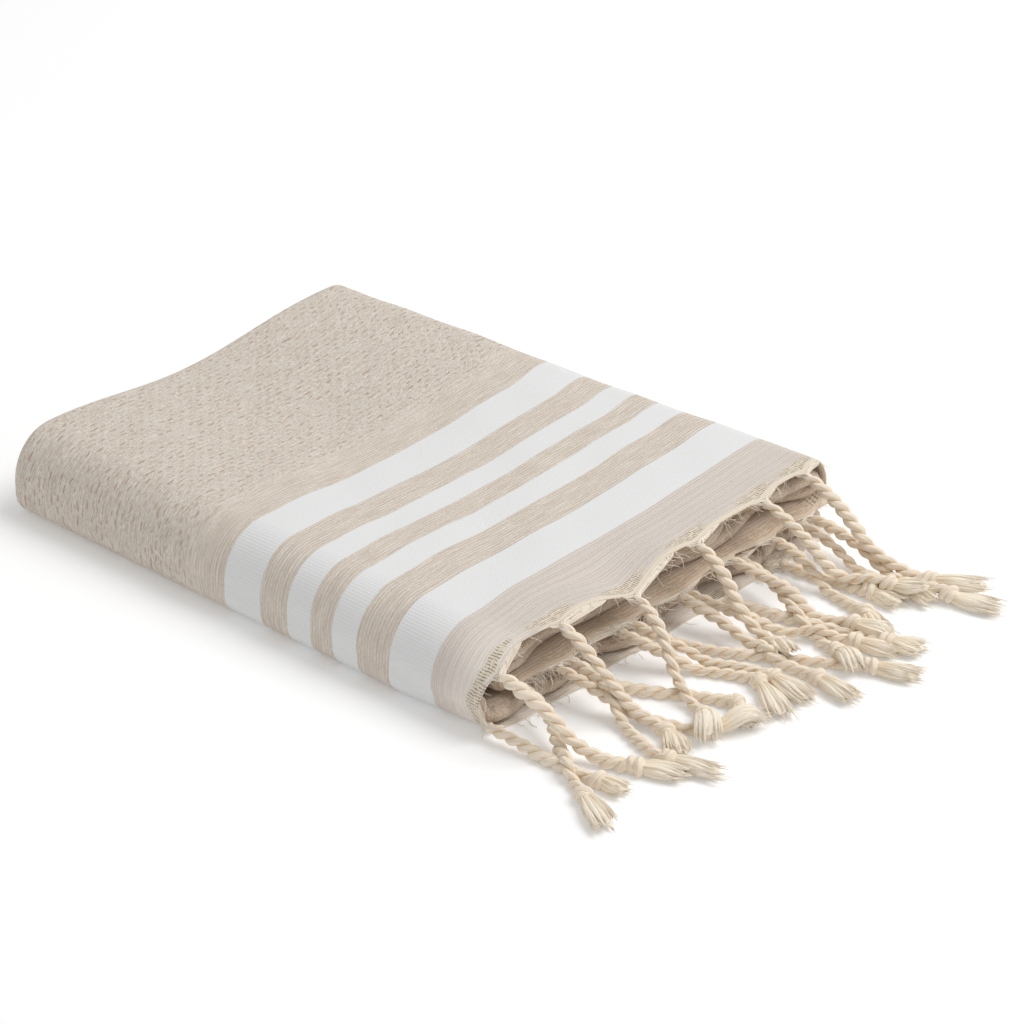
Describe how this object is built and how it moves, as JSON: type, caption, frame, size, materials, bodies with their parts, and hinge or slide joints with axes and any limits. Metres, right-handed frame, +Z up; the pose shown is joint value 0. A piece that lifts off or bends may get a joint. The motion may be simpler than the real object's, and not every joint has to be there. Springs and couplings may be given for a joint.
{
  "type": "folded hammam towel",
  "caption": "Flat-woven striped bath towel folded into a flat stack with one big rounded side, its twisted and knotted tassels spread out in front of the open end.",
  "frame": {"origin": "middle of the flat underside of the folded cloth", "axes": "+Z up, +X along the cloth's length towards the visible fringe, -Y towards the big rounded fold"},
  "size_m": [0.4536, 0.2985, 0.046],
  "materials": {
    "striped_cotton": "flat-woven cotton, sand with white satin stripes and small darker floats",
    "cream_yarn": "undyed two-ply cotton cord, knotted and brushed out at its ends"
  },
  "bodies": {
    "root": {"cloth": "striped_cotton", "fringe": "cream_yarn"}
  },
  "joints": []
}
